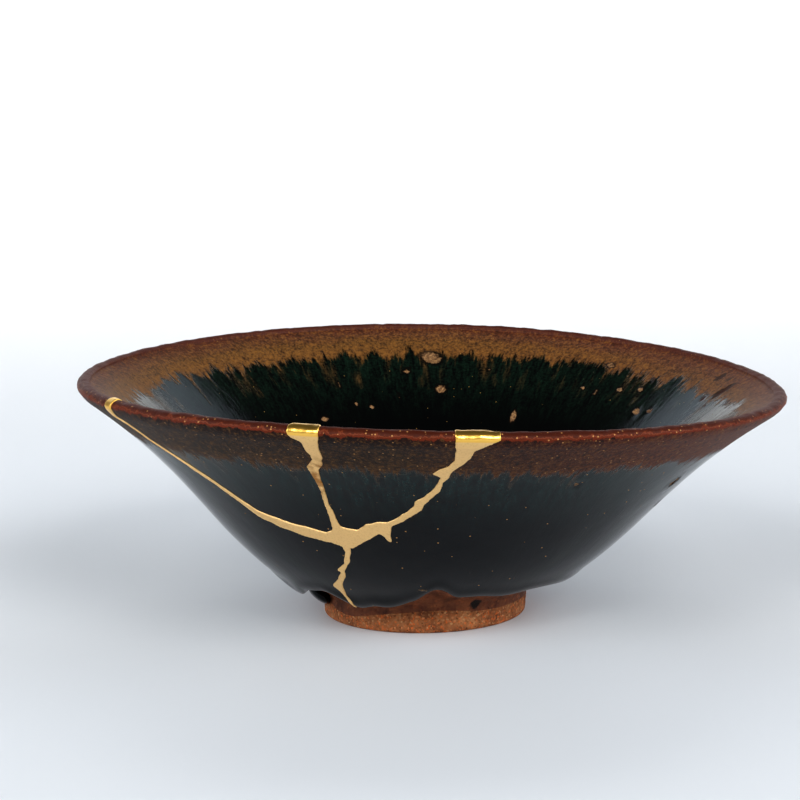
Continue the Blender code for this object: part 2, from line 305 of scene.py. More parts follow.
def kilnWarp(turn):
    # how far the rim's lean and sag lift it in a direction
    lean = bowl["lean"][0] * np.cos(turn) + bowl["lean"][1] * np.sin(turn)
    return lean + (bowl["sag"] * np.cos(2 * turn) + bowl["sagTwist"] * np.sin(2 * turn))


def placed(azimuth, radius, height):
    # a profile point turned to its azimuth, with the kiln warp and the foot's offset, in metres
    turn = np.radians(azimuth)
    up = np.maximum(0, height / bowl["rimHeight"])
    fromMiddle = np.minimum(1, radius / bowl["footRadius"])
    radius = radius + bowl["ovalTwist"] * np.sin(2 * turn) * up * fromMiddle
    offset = bowl["footOffset"] * np.maximum(0, 1 - up)**bowl["leanPower"]
    height = height + kilnWarp(turn) * up**bowl["warpPower"] * fromMiddle
    return np.stack((radius * np.cos(turn) + offset, radius * np.sin(turn), height), -1) * mm


def throwShell():
    # one profile extruded point by point and spun round; shapeShell warps it afterwards as the kiln left it
    plain = [(float(r[0]), float(z[0])) for r, z in wallRings(np.array([-40.0]))]
    bpy.ops.mesh.primitive_plane_add(size=mm)
    shell = bpy.context.object
    shell.name = shell.data.name = "bowlShell"
    bpy.ops.object.mode_set(mode="EDIT")
    bpy.ops.mesh.select_all(action="SELECT")
    bpy.ops.mesh.merge(type="CENTER")
    bpy.ops.transform.translate(value=(0, 0, plain[0][1] * mm))
    for (fromRadius, fromHeight), (radius, height) in zip(plain, plain[1:]):
        step = ((radius - fromRadius) * mm, 0, (height - fromHeight) * mm)
        bpy.ops.mesh.extrude_region_move(TRANSFORM_OT_translate={"value": step})
    bpy.ops.mesh.select_all(action="SELECT")
    bpy.ops.mesh.spin(steps=bowl["segments"], angle=2 * math.pi, center=(0, 0, 0), axis=(0, 0, 1))
    bpy.ops.mesh.select_all(action="SELECT")
    bpy.ops.mesh.remove_doubles(threshold=0.002 * mm)
    bpy.ops.mesh.normals_make_consistent(inside=False)
    bpy.ops.object.mode_set(mode="OBJECT")
    return shell, np.array(plain)


def shapeShell(shell, plain):
    # each point goes to the true place of its ring at its azimuth
    points = meshPoints(shell) / mm
    radius = np.hypot(points[:, 0], points[:, 1])
    away = np.abs(radius[:, None] - plain[None, :, 0]) + np.abs(points[:, 2][:, None] - plain[None, :, 1])
    ring = away.argmin(1)
    turn = 360 / bowl["segments"]
    azimuth = np.degrees(np.arctan2(points[:, 1], points[:, 0]))
    segment = np.round((azimuth + 180) / turn).astype(int) % bowl["segments"]
    azimuths = np.arange(bowl["segments"]) * turn - 180
    rings = np.array(wallRings(azimuths))
    movePoints(shell, placed(azimuths[segment], rings[ring, 0, segment], rings[ring, 1, segment]))
    return ring


def onWall(azimuth, height, inside):
    # the point of the wall's inner or outer face at a height above the table, with its three directions
    line = insideLine if inside else outsideLine
    wellEdge = bowl["wellRadius"] + bowl["wellEdgeOut"]
    line = np.array([point for point in line if point[0] > wellEdge])
    order = np.argsort(line[:, 1])
    turn = math.radians(azimuth)
    flat = height
    for step in range(5):
        flat = height - kilnWarp(turn) * (flat / bowl["rimHeight"])**bowl["warpPower"]
    ends = [placed(azimuth, np.interp(level, line[order, 1], line[order, 0]), level)
            for level in (flat - 0.5, flat, flat + 0.5)]
    up = Vector(ends[2] - ends[0]).normalized()
    around = Vector((-math.sin(turn), math.cos(turn), 0))
    out = around.cross(up).normalized() * (-1 if inside else 1)
    return Vector(ends[1]), around, up, out


# marks that the firing left: azimuth, height, width, length down the wall, depth, and turn in degrees
insideMarks = [
    (89.7, 38.4, 4.3, 3.0, 0.5, 22), (95.2, 36.4, 2.0, 1.3, 0.2, -20), (87.3, 33.0, 2.2, 2.2, 0.4, 0),
    (111.9, 34.5, 1.1, 1.3, 0.0, 0), (97.7, 32.1, 0.9, 1.1, 0.0, 0), (118.6, 29.0, 2.0, 1.3, 0.3, -25),
    (108.9, 30.9, 1.0, 1.2, 0.0, 0), (104.9, 30.3, 1.0, 1.1, 0.0, 0), (67.3, 28.5, 1.2, 3.2, 0.0, 0),
    (80.8, 38.3, 1.0, 1.0, 0.0, 0), (76.7, 36.2, 1.1, 0.9, 0.0, 0), (52.7, 34.0, 1.0, 1.0, 0.0, 0),
    (48.7, 33.5, 1.4, 1.3, 0.0, 0), (43.0, 34.3, 1.6, 1.3, 0.0, 0), (37.6, 34.8, 1.6, 1.4, 0.0, 0),
    (36.5, 36.4, 1.4, 1.1, 0.0, 0), (33.4, 31.4, 2.4, 1.6, 0.3, 10), (29.6, 31.9, 1.7, 1.4, 0.2, 0),
    (49.5, 38.0, 1.8, 1.4, -0.2, 0), (13.8, 37.1, 1.6, 4.6, 0.35, 14), (17.1, 35.4, 1.2, 2.2, 0.2, 12),
    (7.0, 35.9, 1.0, 1.8, 0.2, 10), (13.7, 34.5, 0.9, 1.4, 0.0, 0), (20.0, 39.3, 1.2, 3.0, 0.3, 10),
    (16.7, 39.7, 1.0, 2.4, 0.3, 10), (-160, 33.0, 1.6, 1.4, 0.2, 0), (-128, 30.5, 1.2, 1.3, 0.0, 0),
    (-70, 34.5, 1.8, 1.5, 0.2, 0), (-52, 29.0, 1.1, 1.2, 0.0, 0), (-20, 32.5, 1.3, 1.1, 0.0, 0),
    (150, 26.0, 1.2, 1.2, 0.0, 0), (60, 21.0, 1.3, 1.2, 0.0, 0), (-95, 22.0, 1.2, 1.4, 0.0, 0),
]
outsideMarks = [
    (-62.9, 31.4, 1.3, 1.1, 0.3, 0), (-31.1, 27.6, 2.2, 2.6, 0.8, 0), (-22.4, 22.3, 1.0, 2.6, 0.2, 20),
    (-92.0, 10.6, 4.4, 1.0, 0.0, 0), (70, 30.0, 1.4, 1.2, 0.2, 0), (118, 22.0, 1.1, 1.4, 0.2, 0),
    (152, 34.0, 1.5, 1.1, 0.2, 0), (20, 25.0, 1.0, 1.0, 0.0, 0),
]

# dark spots on the bare slope: azimuth, radius, height and size; the first four are pinholes of dark glaze,
# the last a broad dark patch beside the glaze bead
darkSlopeSpots = [
    (-62.0, 18.9, 4.7, 2.5), (-118, 19.2, 4.9, 1.1), (-42, 19.0, 4.6, 1.2), (130, 19.2, 5.0, 1.6),
    (-176, 20.0, 4.6, 4.0),
]


# how far a mark's colour and its hollow reach through the wall, a hollow's least width, and its raised edge
pressed = {"colourReach": 1.2, "hollowReach": 1.5, "leastWidth": 1.7, "edge": 1.25, "edgeWidth": 0.25,
           "edgeHeight": 0.25}


def pressMarks(shell):
    # hollows with a faint raised edge, and a few bumps where the depth is negative; how near each vertex is
    # to a mark stays with the mesh for the finish: 2 at its middle, 1 on its edge, 0 a half width outside
    points = meshPoints(shell)
    moved = points.copy()
    nearest = np.full(len(points), 9.0)
    for marks, inside in ((insideMarks, True), (outsideMarks, False)):
        for azimuth, height, width, length, depth, tilt in marks:
            centre, around, up, out = onWall(azimuth, height, inside)
            wide = around * math.cos(math.radians(tilt)) + up * math.sin(math.radians(tilt))
            long = up * math.cos(math.radians(tilt)) - around * math.sin(math.radians(tilt))
            away = (points - np.array(centre)) / mm
            across, down, through = away @ np.array(wide), away @ np.array(long), away @ np.array(out)
            oval = np.sqrt((across / (width / 2))**2 + (down / (length / 2))**2
                           + (through / pressed["colourReach"])**2)
            nearest = np.minimum(nearest, oval)
            far = np.sqrt((across / (max(width, pressed["leastWidth"]) / 2))**2
                          + (down / (max(length, pressed["leastWidth"]) / 2))**2
                          + (through / pressed["hollowReach"])**2)
            raised = np.exp(-((far - pressed["edge"]) / pressed["edgeWidth"])**2)
            hollow = np.where(far < 1, (1 - far**2)**2, 0) - pressed["edgeHeight"] * raised
            moved -= np.array(out)[None, :] * (hollow * depth * mm)[:, None]
    for azimuth, radius, height, size in darkSlopeSpots:
        away = (points - placed(azimuth, radius, height)) / mm
        nearest = np.minimum(nearest, np.linalg.norm(away, axis=1) / (size / 2))
    movePoints(shell, moved)
    nearness = shell.data.attributes.new("markNearness", "FLOAT", "POINT")
    nearness.data.foreach_set("value", np.maximum(0, 2 - nearest))


# roughness of the surfaces: strength and size of each layer of unevenness
unevenness = (
    ("bareClay", "coarse", 2.4, 0.20),
    ("bareClay", "grit", 0.75, 0.20),
    ("lip", "knocks", 2.6, 0.34),
    ("lip", "beads", 1.1, 0.18),
    ("glazed", "flow", 8.0, 0.10),
)


def roughen(shell, ring, plain):
    clayWeights = np.zeros(len(plain))
    clayWeights[:foot["recess"] + foot["step"]] = 1
    sideStart = foot["recess"] + foot["step"] + foot["ring"] + foot["bevel"]
    clayWeights[sideStart - 1:sideStart + foot["side"]] = 1
    clayWeights[sideStart + foot["side"]:footRings] = 0.6
    lipStart = footRings + rollRings + len(outsideLine)
    lipWeights = np.zeros(len(plain))
    steps = np.linspace(0, 1, len(lipLine) + 4)[1:-1]
    lipWeights[lipStart - 1:lipStart + len(lipLine) + 1] = np.sin(np.pi * steps)
    glazeWeights = np.zeros(len(plain))
    glazeWeights[footRings + 3:] = 1
    glazeWeights[lipStart:lipStart + len(lipLine)] = 0.3
    groups = {"bareClay": clayWeights, "lip": lipWeights, "glazed": glazeWeights}
    for name, weights in groups.items():
        group = shell.vertex_groups.new(name=name)
        for index in np.nonzero(weights)[0]:
            group.add(np.nonzero(ring == index)[0].tolist(), float(weights[index]), "REPLACE")
    for group, name, size, strength in unevenness:
        texture = bpy.data.textures.new(name, "CLOUDS")
        texture.noise_scale = size * mm
        texture.noise_depth = 2
        useModifier(shell, "DISPLACE", {"texture": texture, "strength": strength * mm, "mid_level": 0.5,
                                        "vertex_group": group, "texture_coords": "LOCAL"})
    points = meshPoints(shell)
    points[:, 2] = np.maximum(points[:, 2], 0)
    movePoints(shell, points)


def faceMaterials(shell, ring, materials):
    # foot's cut side, bare slope (the foot's clay with painted shade), outer glaze and inner glaze each have
    # their own material
    sideEnd = foot["recess"] + foot["step"] + foot["ring"] + foot["bevel"] + foot["side"]
    lipMiddle = footRings + rollRings + len(outsideLine) + len(lipLine) // 2
    for material in materials:
        shell.data.materials.append(material)
    lowest = np.array([min(ring[index] for index in face.vertices) for face in shell.data.polygons])
    kinds = np.digitize(lowest, (sideEnd - 1, footRings, lipMiddle))
    shell.data.polygons.foreach_set("material_index", kinds.astype(np.int32))


def glazeBead(shell):
    # the drop of glaze that ran down onto the foot
    bead = glazeRun["bead"]
    centre = placed(bead["azimuth"], bead["radius"], bead["height"])
    bpy.ops.mesh.primitive_ico_sphere_add(subdivisions=5, radius=mm)
    drop = bpy.context.object
    turn = Matrix.Rotation(math.radians(bead["azimuth"]), 4, "Z")
    tilt = Matrix.Rotation(math.radians(-bead["tilt"]), 4, "Y")
    drop.data.transform(Matrix.Translation(centre) @ turn @ tilt @ Matrix.Diagonal((*bead["size"], 1)))
    for material in shell.data.materials:
        drop.data.materials.append(material)
    drop.data.polygons.foreach_set("material_index", [2] * len(drop.data.polygons))
    useModifier(shell, "BOOLEAN", {"operation": "UNION", "object": drop, "solver": "MANIFOLD"})
    bpy.data.objects.remove(drop)


# the mend

mend = {
    # both edges of the gold along each crack: azimuth and share of the rim height, twice
    "left": (
        (-150.4, 1.080, -147.2, 1.080), (-150.1, 0.985, -147.5, 0.985), (-149.0, 0.938, -148.2, 0.940),
        (-148.1, 0.917, -147.4, 0.921), (-147.0, 0.847, -146.6, 0.851), (-144.0, 0.789, -143.5, 0.793),
        (-140.8, 0.729, -139.9, 0.736), (-138.2, 0.687, -137.4, 0.696), (-135.1, 0.632, -134.2, 0.642),
        (-131.4, 0.564, -130.1, 0.587), (-125.8, 0.525, -124.1, 0.559), (-119.8, 0.496, -119.0, 0.543),
        (-114.5, 0.482, -114.4, 0.526), (-108.0, 0.474, -108.0, 0.520),
    ),
    "middle": (
        (-111.2, 1.080, -106.0, 1.080), (-111.0, 0.972, -106.2, 0.973), (-110.5, 0.962, -106.2, 0.966),
        (-109.3, 0.950, -106.5, 0.951), (-109.4, 0.919, -107.0, 0.920), (-109.0, 0.891, -107.2, 0.882),
        (-109.1, 0.868, -107.5, 0.867), (-110.9, 0.833, -107.9, 0.843), (-110.9, 0.802, -109.0, 0.819),
        (-110.8, 0.764, -109.5, 0.775), (-110.8, 0.720, -110.0, 0.713), (-111.3, 0.662, -110.3, 0.658),
        (-111.4, 0.614, -110.0, 0.603), (-111.9, 0.565, -109.7, 0.564), (-112.4, 0.490, -109.0, 0.490),
    ),
    "right": (
        (-86.6, 1.080, -80.0, 1.080), (-86.6, 0.972, -80.3, 0.971), (-86.6, 0.958, -81.8, 0.960),
        (-86.6, 0.929, -83.6, 0.936), (-86.5, 0.887, -84.0, 0.899), (-87.4, 0.857, -85.0, 0.872),
        (-88.6, 0.845, -85.8, 0.853), (-89.7, 0.823, -86.7, 0.830), (-88.5, 0.807, -86.9, 0.808),
        (-88.8, 0.780, -87.8, 0.785), (-89.5, 0.751, -88.2, 0.744), (-91.2, 0.715, -89.8, 0.708),
        (-92.9, 0.692, -91.1, 0.681), (-93.1, 0.669, -91.6, 0.653), (-94.7, 0.642, -93.5, 0.625),
        (-96.7, 0.614, -95.6, 0.598), (-98.9, 0.591, -97.7, 0.578), (-101.4, 0.588, -99.3, 0.556),
        (-103.8, 0.576, -103.5, 0.510), (-105.9, 0.548, -108.6, 0.460), (-109.5, 0.558, -110.5, 0.464),
        (-113.5, 0.530, -113.5, 0.478),
    ),
    "foot": (
        (-111.3, 0.505, -109.0, 0.505), (-111.1, 0.443, -109.3, 0.450), (-112.9, 0.382, -110.8, 0.394),
        (-116.0, 0.349, -112.7, 0.363), (-115.4, 0.337, -113.8, 0.345), (-118.0, 0.297, -114.7, 0.314),
        (-121.8, 0.262, -117.6, 0.270), (-120.9, 0.236, -119.5, 0.215), (-119.9, 0.185, -118.8, 0.185),
        (-119.5, 0.145, -118.9, 0.145),
    ),
    "spur": (
        (-101.4, 0.550, -97.9, 0.590), (-101.0, 0.535, -98.3, 0.560), (-100.1, 0.524, -98.6, 0.530),
        (-99.0, 0.500, -98.5, 0.500),
    ),
    "margin": 2.5,
    # the gold laps over the edges of the crack by this much, stands proud, and its edges wander
    "lap": 0.3,
    "proud": 0.22,
    "step": 0.45,
    "wander": 0.16,
    "wanderLength": 1.4,
    "voxel": 0.17,
    "brushLength": 1.8,
    "brushDepth": 0.07,
}
cracks = ("left", "middle", "right", "foot", "spur")


def glazedPoint(share):
    height = share * bowl["rimHeight"]
    over = max(0.0, height - clayTop)
    radius, normal, upWall = clayAt(height - over)
    thick = glazeThickness(upWall)
    point = np.array((radius + normal[0] * thick - normal[1] / normal[0] * over,
                      height - over + normal[1] * thick + over))
    return point, np.array(normal)


def crackEdges(stations):
    # both edges of the gold, with the millimetres for a degree and for the whole share at that height
    edges = []
    for azimuthA, shareA, azimuthB, shareB in stations:
        point, normal = glazedPoint((shareA + shareB) / 2)
        edges.append((np.array((azimuthA, shareA)), np.array((azimuthB, shareB)),
                      math.radians(1) * point[0], bowl["rimHeight"] / normal[0]))
    return edges


def fineEdges(stations, seed, inset):
    # short steps along the crack, each edge wandering by itself as a brush leaves it
    edges = crackEdges(stations)
    rows = []
    travelled = 0
    for (leftA, rightA, perDegree, perShare), (leftB, rightB, _, _) in zip(edges, edges[1:]):
        scale = np.array((perDegree, perShare))
        length = np.linalg.norm(((leftB + rightB) - (leftA + rightA)) / 2 * scale)
        steps = max(1, round(length / mend["step"]))
        for step in range(steps):
            along = step / steps
            left = leftA + (leftB - leftA) * along
            right = rightA + (rightB - rightA) * along
            across = (right - left) * scale
            width = np.linalg.norm(across)
            across /= width
            place = (travelled + along * length) / mend["wanderLength"]
            for side, sign in ((0, 1), (1, -1)):
                drift = noise.noise(Vector((place, seed + side * 7.3, 0.5)))
                drift += 0.5 * noise.noise(Vector((place * 2.7, seed + side * 3.1, 4.5)))
                shift = min(inset, 0.38 * width) - drift * min(mend["wander"], 0.2 * width)
                moved = across * shift * sign / scale
                if side:
                    right = right + moved
                else:
                    left = left + moved
            rows.append((left, right))
        travelled += length
    rows.append(edges[-1][:2])
    return rows


def crackStrip(name, inset):
    # a bar through the wall that is extruded along the crack, square to the wall's face
    rows = fineEdges(mend[name], cracks.index(name) * 20.0, inset)
    through = bowl["baseWall"] + glazeRun["atEdge"] + mend["margin"]
    corners = []
    for left, right in rows:
        row = []
        for azimuth, share in (left, right):
            point, normal = glazedPoint(share)
            row.append(Vector(placed(azimuth, *(point + normal * mend["margin"]))))
            row.append(Vector(placed(azimuth, *(point - normal * through))))
        corners.append([row[0], row[2], row[3], row[1]])
    bpy.ops.mesh.primitive_plane_add(size=mm)
    strip = bpy.context.object
    order = list(strip.data.polygons[0].vertices)
    for index, corner in zip(order, corners[0]):
        strip.data.vertices[index].co = corner
    bpy.ops.object.mode_set(mode="EDIT")
    bpy.ops.mesh.select_all(action="SELECT")
    shape = bmesh.from_edit_mesh(strip.data)
    for last, row in zip(corners, corners[1:]):
        bpy.ops.mesh.extrude_region_move()
        for vert in [vert for vert in shape.verts if vert.select]:
            nearest = min(range(4), key=lambda index: (vert.co - last[index]).length)
            vert.co = row[nearest]
    bmesh.update_edit_mesh(strip.data)
    bpy.ops.mesh.select_all(action="SELECT")
    bpy.ops.mesh.quads_convert_to_tris()
    bpy.ops.mesh.normals_make_consistent(inside=False)
    bpy.ops.object.mode_set(mode="OBJECT")
    return strip


def crackNetwork(inset):
    whole = crackStrip(cracks[0], inset)
    for name in cracks[1:]:
        branch = crackStrip(name, inset)
        useModifier(whole, "BOOLEAN", {"operation": "UNION", "object": branch, "solver": "EXACT",
                                       "use_self": True})
        bpy.data.objects.remove(branch)
    return whole


def layGold(shell, network, material):
    # lacquer fills the cracks through the wall, stands a little proud of the glaze and rounds at its edges
    gold = copyPiece(shell, "goldSeamDressed")
    useModifier(gold, "DISPLACE", {"strength": mend["proud"] * mm, "mid_level": 0.0})
    useModifier(gold, "BOOLEAN", {"operation": "INTERSECT", "object": network, "solver": "MANIFOLD"})
    useModifier(gold, "REMESH", {"mode": "VOXEL", "voxel_size": mend["voxel"] * mm})
    useModifier(gold, "SMOOTH", {"factor": 0.5, "iterations": 5})
    brushed = bpy.data.textures.new("brushed", "CLOUDS")
    brushed.noise_scale = mend["brushLength"] * mm
    useModifier(gold, "DISPLACE", {"texture": brushed, "strength": mend["brushDepth"] * mm,
                                   "texture_coords": "LOCAL"})
    gold.data.materials.clear()
    gold.data.materials.append(material)
    gold.data.polygons.foreach_set("material_index", [0] * len(gold.data.polygons))
    return gold


def breakShell(shell, network):
    # the shell comes apart along the cracks; the three largest bodies are the bowl and its two sherds
    useModifier(shell, "BOOLEAN", {"operation": "DIFFERENCE", "object": network, "solver": "MANIFOLD"})
    makeActive(shell)
    bpy.ops.object.mode_set(mode="EDIT")
    bpy.ops.mesh.select_all(action="SELECT")
    bpy.ops.mesh.separate(type="LOOSE")
    bpy.ops.object.mode_set(mode="OBJECT")
    bodies = sorted(bpy.context.selected_objects, key=lambda body: len(body.data.vertices), reverse=True)
    for crumb in bodies[3:]:
        bpy.data.objects.remove(crumb)
    sherds = sorted(bodies[1:3], key=lambda body: meshPoints(body)[:, 0].mean())
    return bodies[0], sherds[0], sherds[1]


# finishes

def hexColour(code, alpha=1.0):
    # sRGB hex to linear
    parts = [int(code[index:index + 2], 16) / 255 for index in (1, 3, 5)]
    return (*[part / 12.92 if part <= 0.04045 else ((part + 0.055) / 1.055)**2.4 for part in parts], alpha)


def addNode(tree, kind, settings=None, links=None):
    # a node, its settings by property or input name, and what feeds its inputs
    node = tree.nodes.new(kind)
    for key, value in (settings or {}).items():
        if isinstance(key, str) and hasattr(node, key):
            setattr(node, key, value)
        else:
            node.inputs[key].default_value = value
    for key, source in (links or {}).items():
        tree.links.new(source.outputs[0] if hasattr(source, "outputs") else source, node.inputs[key])
    return node


def newMaterial(name):
    material = bpy.data.materials.new(name)
    material.use_nodes = True
    tree = material.node_tree
    return material, tree, tree.nodes["Principled BSDF"]


def setRamp(node, stops):
    ramp = node.color_ramp
    while len(ramp.elements) < len(stops):
        ramp.elements.new(0.5)
    for element, (position, code) in zip(ramp.elements, stops):
        element.position = position
        element.color = hexColour(code)
    return node


def rimCoordinates(tree):
    # the point in millimetres, the direction it lies in from the axis, and its depth below the warped rim
    coordinates = addNode(tree, "ShaderNodeTexCoord")
    point = addNode(tree, "ShaderNodeVectorMath", {"operation": "SCALE", "Scale": 1 / mm},
                    {0: coordinates.outputs["Object"]})
    flat = addNode(tree, "ShaderNodeVectorMath", {"operation": "MULTIPLY", 1: (1, 1, 0)}, {0: point})
    direction = addNode(tree, "ShaderNodeVectorMath", {"operation": "NORMALIZE"}, {0: flat})
    height = addNode(tree, "ShaderNodeSeparateXYZ", {}, {0: point}).outputs["Z"]
    lean = addNode(tree, "ShaderNodeVectorMath", {"operation": "DOT_PRODUCT", 1: (*bowl["lean"], 0)},
                   {0: direction}).outputs["Value"]
    # sag times cos of twice the azimuth plus twist times its sin, as one turned cosine
    swing = math.hypot(bowl["sag"], bowl["sagTwist"])
    turned = math.atan2(bowl["sagTwist"], bowl["sag"]) / 2
    turnedAxis = (math.cos(turned), math.sin(turned), 0)
    along = addNode(tree, "ShaderNodeVectorMath", {"operation": "DOT_PRODUCT", 1: turnedAxis},
                    {0: direction}).outputs["Value"]
    squared = addNode(tree, "ShaderNodeMath", {"operation": "MULTIPLY"}, {0: along, 1: along})
    warp = addNode(tree, "ShaderNodeMath", {"operation": "MULTIPLY_ADD", 1: 2 * swing}, {0: squared, 2: lean})
    rim = addNode(tree, "ShaderNodeMath", {"operation": "ADD", 1: bowl["rimHeight"] - swing}, {0: warp})
    depth = addNode(tree, "ShaderNodeMath", {"operation": "SUBTRACT"}, {0: rim, 1: height})
    return point, direction, depth


def streakPoint(tree, direction, depth, stretch):
    # a pattern laid on this runs down the wall, narrowing towards the well
    around = addNode(tree, "ShaderNodeVectorMath", {"operation": "SCALE", "Scale": bowl["mouthRadius"]},
                     {0: direction})
    short = addNode(tree, "ShaderNodeMath", {"operation": "MULTIPLY", 1: stretch}, {0: depth})
    down = addNode(tree, "ShaderNodeCombineXYZ", {}, {"Z": short})
    return addNode(tree, "ShaderNodeVectorMath", {"operation": "ADD"}, {0: around, 1: down})


def markMask(tree, point, size=0.0):
    # 1 on the marks, with a ragged edge; a larger size reaches further out
    grain = addNode(tree, "ShaderNodeTexNoise", {"Scale": 1.6, "Detail": 3.0}, {"Vector": point})
    near = addNode(tree, "ShaderNodeAttribute", {"attribute_name": "markNearness"}).outputs["Fac"]
    ragged = addNode(tree, "ShaderNodeMath", {"operation": "MULTIPLY_ADD", 1: -0.7}, {0: grain, 2: near})
    return addNode(tree, "ShaderNodeMapRange", {"From Min": 0.62 - size, "From Max": 0.88 - size},
                   {"Value": ragged})


def bandEdge(tree, look, direction, depth, fine, broad):
    # how far a point lies below the ragged end of the brown band, and 1 inside the band
    leaning = addNode(tree, "ShaderNodeVectorMath", {"operation": "DOT_PRODUCT", 1: (*look["bandLean"], 0)},
                      {0: direction}).outputs["Value"]
    edge = addNode(tree, "ShaderNodeMath", {"operation": "MULTIPLY_ADD", 1: look["raggedness"]},
                   {0: fine, 2: leaning})
    edge = addNode(tree, "ShaderNodeMath", {"operation": "MULTIPLY_ADD", 1: look["wander"]},
                   {0: broad, 2: edge})
    level = look["band"] - (look["raggedness"] + look["wander"]) / 2
    edge = addNode(tree, "ShaderNodeMath", {"operation": "ADD", 1: level}, {0: edge})
    below = addNode(tree, "ShaderNodeMath", {"operation": "SUBTRACT"}, {0: depth, 1: edge})
    inBand = addNode(tree, "ShaderNodeMapRange",
                     {"interpolation_type": "SMOOTHSTEP", "From Min": look["soft"],
                      "From Max": -look["soft"]}, {"Value": below})
    return below, inBand


def bandColour(tree, look, point, direction, depth, fine, grain):
    # the band's colours from the lip down, warmer to the right and broken up by the grain
    cloud = addNode(tree, "ShaderNodeTexNoise", {"Scale": 1 / 4.5, "Detail": 4.0}, {"Vector": point})
    share = addNode(tree, "ShaderNodeMath", {"operation": "DIVIDE", 1: look["band"]}, {0: depth})
    share = addNode(tree, "ShaderNodeMath", {"operation": "MULTIPLY_ADD", 1: 0.5}, {0: cloud, 2: share})
    share = addNode(tree, "ShaderNodeMath", {"operation": "SUBTRACT", 1: 0.25}, {0: share})
    band = setRamp(addNode(tree, "ShaderNodeValToRGB", {}, {"Fac": share}), look["bandStops"])
    warm = addNode(tree, "ShaderNodeSeparateXYZ", {}, {0: direction}).outputs["X"]
    warm = addNode(tree, "ShaderNodeMapRange",
                   {"From Min": -0.1, "From Max": 0.8, "To Max": look["warmShare"]}, {"Value": warm})
    band = addNode(tree, "ShaderNodeMix", {"data_type": "RGBA", 7: hexColour(look["warm"])},
                   {0: warm, 6: band})
    speckled = addNode(tree, "ShaderNodeTexNoise", {"Scale": 1 / 1.0, "Detail": 4.0, "Roughness": 0.65},
                       {"Vector": point})
    speckled = addNode(tree, "ShaderNodeMath", {"operation": "ADD"}, {0: speckled, 1: grain})
    mottle = addNode(tree, "ShaderNodeMath", {"operation": "MULTIPLY_ADD", 1: 0.35},
                     {0: fine, 2: speckled})
    flecks = addNode(tree, "ShaderNodeMapRange",
                     {"From Min": 1.18, "From Max": 1.46, "To Max": look["fleckShare"]}, {"Value": mottle})
    band = addNode(tree, "ShaderNodeMix", {"data_type": "RGBA", 7: hexColour(look["fleck"])},
                   {0: flecks, 6: band.outputs[2]})
    dark = addNode(tree, "ShaderNodeMapRange", {"From Min": 1.18, "From Max": 0.86, "To Max": 0.9},
                   {"Value": mottle})
    return addNode(tree, "ShaderNodeMix", {"data_type": "RGBA", 7: hexColour(look["bandShade"])},
                   {0: dark, 6: band.outputs[2]})


def thickColour(tree, look, below, fine, broad, grain):
    # the thick glaze: green streaks that fade downwards, and a few rusty ones near the band
    fadeDown = addNode(tree, "ShaderNodeMapRange",
                       {"interpolation_type": "SMOOTHSTEP", "From Min": look["furReach"], "From Max": 0.0},
                       {"Value": below})
    mottle = addNode(tree, "ShaderNodeMath", {"operation": "ADD"}, {0: grain, 1: fine})
    fur = addNode(tree, "ShaderNodeMapRange", {"From Min": 0.82, "From Max": 1.28}, {"Value": mottle})
    furShare = addNode(tree, "ShaderNodeMath", {"operation": "MULTIPLY"}, {0: fur, 1: fadeDown})
    thick = addNode(tree, "ShaderNodeMix",
                    {"data_type": "RGBA", 6: hexColour(look["black"]), 7: hexColour(look["fur"])},
                    {0: furShare})
    nearBand = addNode(tree, "ShaderNodeMapRange", {"From Min": look["rustReach"], "From Max": 0.0},
                       {"Value": below})
    rusty = addNode(tree, "ShaderNodeMapRange", {"From Min": 0.52, "From Max": 0.70, "To Max": 0.8},
                    {"Value": broad})
    for share in (nearBand, fur):
        rusty = addNode(tree, "ShaderNodeMath", {"operation": "MULTIPLY"}, {0: rusty, 1: share})
    thick = addNode(tree, "ShaderNodeMix", {"data_type": "RGBA", 7: hexColour(look["rust"])},
                    {0: rusty, 6: thick.outputs[2]})
    return thick, rusty


def lipOver(tree, look, point, depth, colour):
    # the lip, where the clay's iron shows through, laid over the colour, and 1 on the lip
    blotch = addNode(tree, "ShaderNodeTexNoise", {"Scale": 1 / 1.8, "Detail": 5.0, "Roughness": 0.65},
                     {"Vector": point})
    blotch = addNode(tree, "ShaderNodeMath", {"operation": "SUBTRACT", 1: 0.5}, {0: blotch})
    ragged = addNode(tree, "ShaderNodeMath", {"operation": "MULTIPLY_ADD", 1: look["lipWander"]},
                     {0: blotch, 2: depth})
    lip = addNode(tree, "ShaderNodeMapRange",
                  {"interpolation_type": "SMOOTHSTEP", "From Min": look["lip"] + look["lipSoft"],
                   "From Max": look["lip"] - look["lipSoft"]},
                  {"Value": ragged})
    lipShare = addNode(tree, "ShaderNodeMath", {"operation": "DIVIDE", 1: look["lip"]}, {0: ragged})
    lipColour = setRamp(addNode(tree, "ShaderNodeValToRGB", {}, {"Fac": lipShare}), look["lipStops"])
    colour = addNode(tree, "ShaderNodeMix", {"data_type": "RGBA"},
                     {0: lip, 6: colour.outputs[2], 7: lipColour})
    return colour, lip


